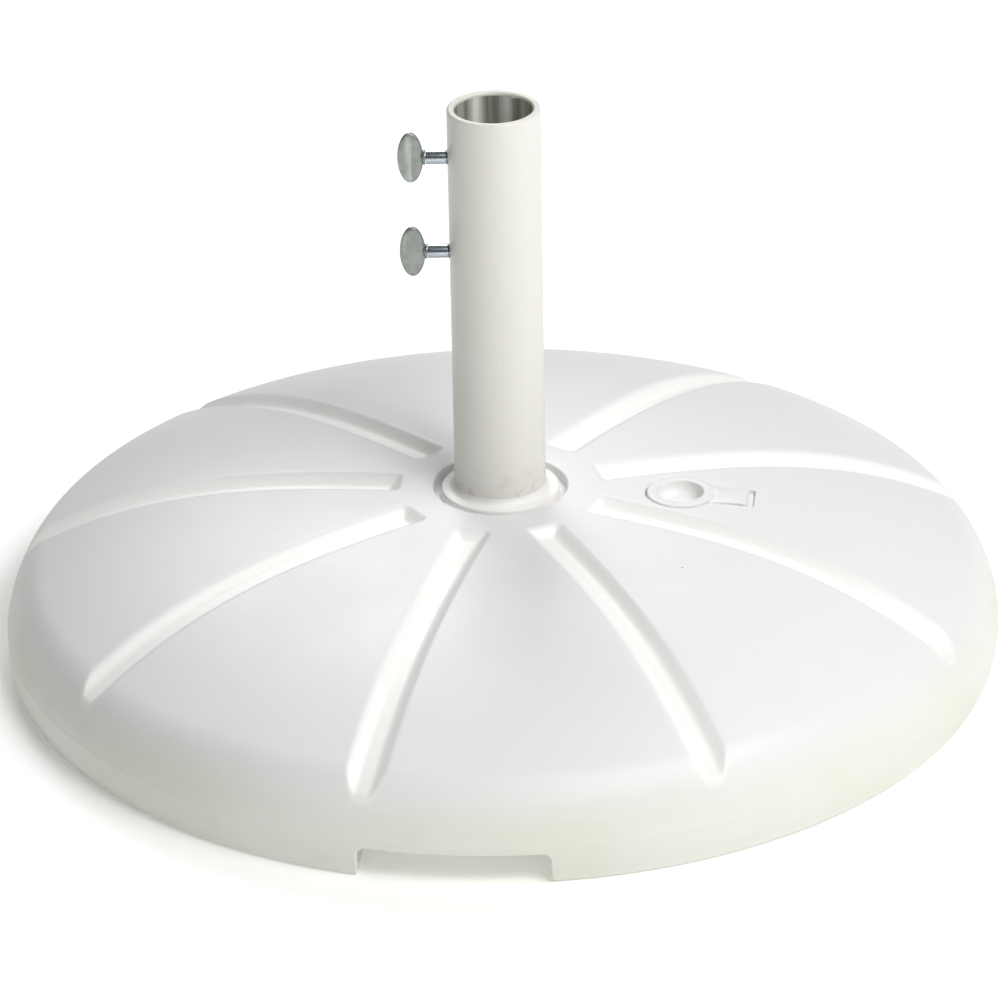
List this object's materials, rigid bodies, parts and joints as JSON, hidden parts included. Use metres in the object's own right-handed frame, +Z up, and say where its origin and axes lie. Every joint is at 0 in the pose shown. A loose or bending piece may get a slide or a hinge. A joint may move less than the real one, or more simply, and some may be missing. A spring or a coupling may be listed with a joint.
{
  "type": "parasol base",
  "caption": "Round ballast-filled moulded base with radial flutes, a steel pole tube and thumb screws that clamp the parasol pole.",
  "frame": {"origin": "centre of the resting plane, under the pole tube's axis", "axes": "+Z up along the pole tube; +X towards the filler plug; the thumb screws stand out on -X"},
  "size_m": [0.5489, 0.5489, 0.3165],
  "materials": {
    "white_resin": "satin",
    "collar_resin": "satin",
    "plug_resin": "satin",
    "white_paint": "satin",
    "zinc_plate": "satin",
    "zinc_casting": "satin",
    "bare_steel": "satin",
    "sand": "matte"
  },
  "bodies": {
    "base": {"base_shell": "white_resin", "sand_ballast": "sand", "pole_tube": "white_paint", "tube_collar": "collar_resin", "tube_end_plate": "bare_steel", "clamp_washer": "zinc_plate", "lock_washer": "zinc_plate", "clamp_bolt": "zinc_plate"},
    "plug": {"filler_plug": "plug_resin"},
    "upper_stud": {"upper_thumb_stud": "zinc_plate"},
    "upper_head": {"upper_thumb_head": "zinc_casting"},
    "lower_stud": {"lower_thumb_stud": "zinc_plate"},
    "lower_head": {"lower_thumb_head": "zinc_casting"}
  },
  "joints": [
    {"name": "plug_lift", "type": "slide", "parent": "base", "child": "plug", "axis": [0, 0, 1], "range_m": [0, 0.03]},
    {"name": "upper_screw_travel", "type": "slide", "parent": "base", "child": "upper_stud", "axis": [1, 0, 0], "range_m": [-0.0051, 0.0101]},
    {"name": "upper_screw_turn", "type": "hinge", "parent": "upper_stud", "child": "upper_head", "pos_m": [-0.044, 0, 0.2884], "axis": [1, 0, 0], "range_deg": [-1440, 2880]},
    {"name": "lower_screw_travel", "type": "slide", "parent": "base", "child": "lower_stud", "axis": [1, 0, 0], "range_m": [-0.0051, 0.0101]},
    {"name": "lower_screw_turn", "type": "hinge", "parent": "lower_stud", "child": "lower_head", "pos_m": [-0.044, 0, 0.2338], "axis": [1, 0, 0], "range_deg": [-1440, 2880]}
  ],
  "couplings": [
    {"joint": "upper_screw_travel", "follows": "upper_screw_turn", "m_per_rad": 0.00019894},
    {"joint": "lower_screw_travel", "follows": "lower_screw_turn", "m_per_rad": 0.00019894}
  ]
}
